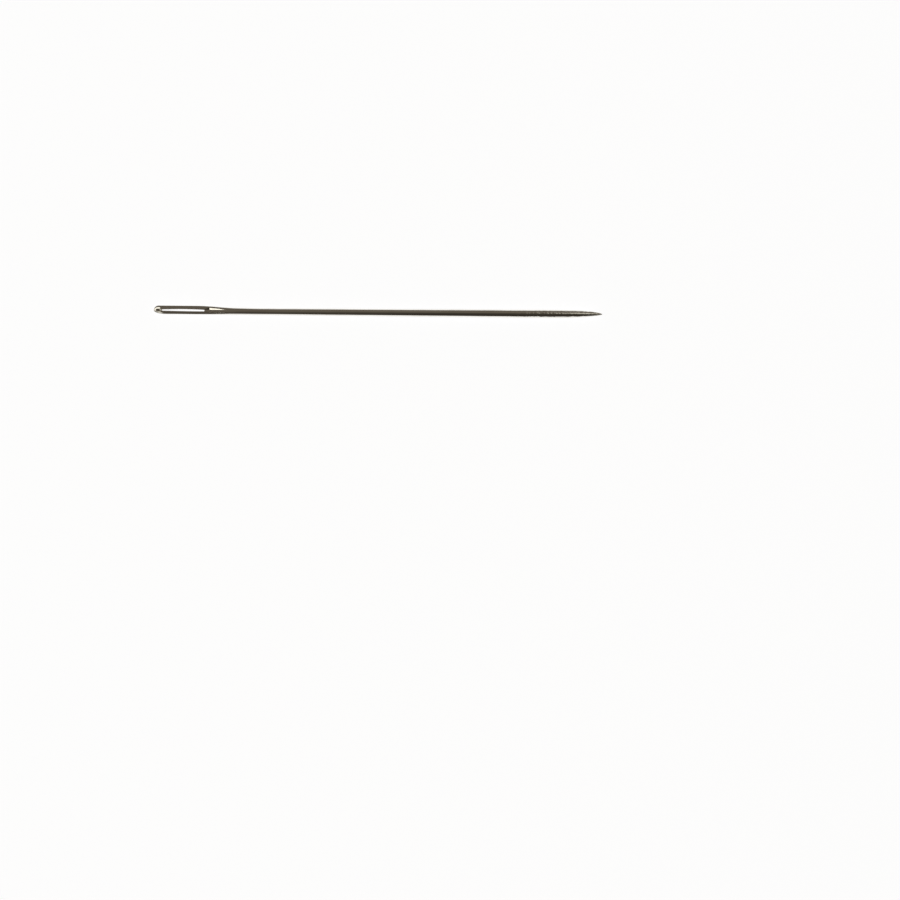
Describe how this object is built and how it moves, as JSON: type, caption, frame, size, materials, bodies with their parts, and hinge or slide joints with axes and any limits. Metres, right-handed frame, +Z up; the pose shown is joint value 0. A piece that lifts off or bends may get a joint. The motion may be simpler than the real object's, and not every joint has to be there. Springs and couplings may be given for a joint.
{
  "type": "sewing needle",
  "caption": "Straight hand sewing needle of polished steel with a long oval eye in a flat head, a scooped gutter running from the eye into the neck on each face, a round shank and a tapered ground point.",
  "frame": {"origin": "on the table that the needle lies on, under the shank's axis at the middle of the needle's length", "axes": "+X along the shank from the crown to the point, +Y across the needle in the plane of its flat head, towards the side that the head stands out on, +Z up through the open eye"},
  "size_m": [0.057, 0.0012, 0.0011],
  "materials": {
    "needle_steel": "gloss"
  },
  "bodies": {
    "root": {"crown": "needle_steel", "eye_wall_left": "needle_steel", "eye_wall_right": "needle_steel", "neck": "needle_steel", "shank": "needle_steel", "point": "needle_steel"}
  },
  "joints": []
}
